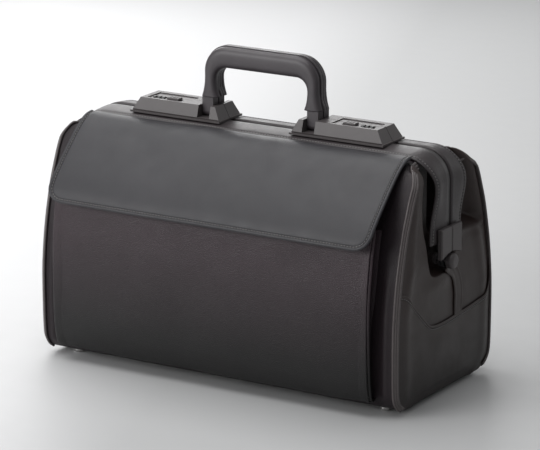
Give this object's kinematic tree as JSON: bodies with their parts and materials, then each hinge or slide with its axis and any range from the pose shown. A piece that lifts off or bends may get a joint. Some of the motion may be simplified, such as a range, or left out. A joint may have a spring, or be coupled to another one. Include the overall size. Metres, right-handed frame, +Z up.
{
  "type": "doctor bag",
  "caption": "Framed leather doctor bag with hinged two-part top frame, split folding handle, sliding combination locks, flap-covered front pocket, folded side gussets and base feet.",
  "frame": {"origin": "centre of the bounding box on the ground plane, under the feet", "axes": "+X along the bag's length, -Y toward the pocket side, +Z up"},
  "size_m": [0.4452, 0.2239, 0.3318],
  "materials": {
    "wall_leather": "fine grain, semi-matte",
    "pocket_leather": "fine grain, semi-matte",
    "side_leather": "fine grain, semi-matte",
    "piping_leather": "smooth",
    "flap_leather": "smooth, semi-matte",
    "frame_leather": "smooth, semi-matte",
    "lining": "woven",
    "board": "fibreboard",
    "frame_steel": "plain",
    "bead": "dull",
    "black_plastic": "fine texture",
    "dial_plastic": "moulded",
    "grip": "smooth soft grip",
    "pins": "smooth",
    "small_steel": "plain",
    "foot_metal": "polished"
  },
  "bodies": {
    "bag_body": {"base_skin": "wall_leather", "base_board": "board", "base_pad": "lining", "bag_feet": "foot_metal", "foot_washers": "small_steel", "front_wall": "wall_leather", "rear_wall": "wall_leather", "front_upper_wall": "wall_leather", "rear_upper_wall": "wall_leather", "front_lining": "lining", "rear_lining": "lining", "left_gusset": "side_leather", "right_gusset": "side_leather", "left_side_panel": "side_leather", "right_side_panel": "side_leather", "left_hinge_strap": "side_leather", "right_hinge_strap": "side_leather", "left_hinge_pin": "pins", "right_hinge_pin": "pins", "front_piping": "piping_leather", "rear_piping": "piping_leather", "pocket_panel": "pocket_leather", "pocket_bellows": "pocket_leather"},
    "front_frame": {"front_frame_bar": "frame_steel", "front_frame_cover": "frame_leather", "front_hinge_caps": "black_plastic", "left_front_lock_case": "black_plastic", "right_front_lock_case": "black_plastic", "left_dial_axle": "small_steel", "right_dial_axle": "small_steel", "front_handle_pins": "small_steel", "front_lock_rivets": "small_steel"},
    "rear_frame": {"rear_frame_bar": "frame_steel", "rear_frame_cover": "frame_leather", "frame_bead": "bead", "rear_hinge_caps": "black_plastic", "left_rear_lock_case": "black_plastic", "right_rear_lock_case": "black_plastic", "left_catch": "small_steel", "right_catch": "small_steel", "rear_handle_pins": "small_steel", "rear_lock_rivets": "small_steel"},
    "flap_seam": {"flap_seam_strip": "flap_leather", "flap_shoulder": "flap_leather"},
    "flap": {"flap": "flap_leather"},
    "front_handle": {"front_handle_core": "black_plastic", "front_handle_pad": "grip"},
    "rear_handle": {"rear_handle_core": "black_plastic", "rear_handle_pad": "grip"},
    "left_slide": {"left_slide": "black_plastic"},
    "right_slide": {"right_slide": "black_plastic"},
    "left_dial_1": {"left_dial_1": "dial_plastic"},
    "left_dial_2": {"left_dial_2": "dial_plastic"},
    "left_dial_3": {"left_dial_3": "dial_plastic"},
    "right_dial_1": {"right_dial_1": "dial_plastic"},
    "right_dial_2": {"right_dial_2": "dial_plastic"},
    "right_dial_3": {"right_dial_3": "dial_plastic"}
  },
  "joints": [
    {"name": "front_frame_hinge", "type": "hinge", "parent": "bag_body", "child": "front_frame", "pos_m": [0, 0.01, 0.141], "axis": [1, 0, 0], "range_deg": [0, 35], "deforming": ["front_upper_wall", "front_piping", "left_gusset", "right_gusset"]},
    {"name": "rear_frame_hinge", "type": "hinge", "parent": "bag_body", "child": "rear_frame", "pos_m": [0, 0.01, 0.141], "axis": [-1, 0, 0], "range_deg": [0, 35], "deforming": ["rear_upper_wall", "rear_piping", "left_gusset", "right_gusset"]},
    {"name": "flap_seam_turn", "type": "hinge", "parent": "front_frame", "child": "flap_seam", "pos_m": [0, -0.0283, 0.2522], "axis": [-1, 0, 0], "range_deg": [0, 20.5]},
    {"name": "flap_hinge", "type": "hinge", "parent": "flap_seam", "child": "flap", "pos_m": [0, -0.06096, 0.23635], "axis": [-1, 0, 0], "range_deg": [0, 90]},
    {"name": "front_handle_fold", "type": "hinge", "parent": "front_frame", "child": "front_handle", "pos_m": [0, 0.004, 0.262], "axis": [-1, 0, 0], "range_deg": [-90, 0]},
    {"name": "rear_handle_fold", "type": "hinge", "parent": "rear_frame", "child": "rear_handle", "pos_m": [0, 0.016, 0.262], "axis": [1, 0, 0], "range_deg": [-90, 0]},
    {"name": "left_slide_travel", "type": "slide", "parent": "front_frame", "child": "left_slide", "axis": [-1, 0, 0], "range_m": [-0.005, 0]},
    {"name": "right_slide_travel", "type": "slide", "parent": "front_frame", "child": "right_slide", "axis": [1, 0, 0], "range_m": [-0.005, 0]},
    {"name": "left_dial_1_turn", "type": "hinge", "parent": "front_frame", "child": "left_dial_1", "pos_m": [-0.119, 0.0035, 0.2654], "axis": [1, 0, 0], "continuous": true},
    {"name": "left_dial_2_turn", "type": "hinge", "parent": "front_frame", "child": "left_dial_2", "pos_m": [-0.1242, 0.0035, 0.2654], "axis": [1, 0, 0], "continuous": true},
    {"name": "left_dial_3_turn", "type": "hinge", "parent": "front_frame", "child": "left_dial_3", "pos_m": [-0.1294, 0.0035, 0.2654], "axis": [1, 0, 0], "continuous": true},
    {"name": "right_dial_1_turn", "type": "hinge", "parent": "front_frame", "child": "right_dial_1", "pos_m": [0.119, 0.0035, 0.2654], "axis": [1, 0, 0], "continuous": true},
    {"name": "right_dial_2_turn", "type": "hinge", "parent": "front_frame", "child": "right_dial_2", "pos_m": [0.1242, 0.0035, 0.2654], "axis": [1, 0, 0], "continuous": true},
    {"name": "right_dial_3_turn", "type": "hinge", "parent": "front_frame", "child": "right_dial_3", "pos_m": [0.1294, 0.0035, 0.2654], "axis": [1, 0, 0], "continuous": true}
  ],
  "couplings": [
    {"joint": "flap_seam_turn", "follows": "front_frame_hinge", "ratio": 0.5714}
  ]
}
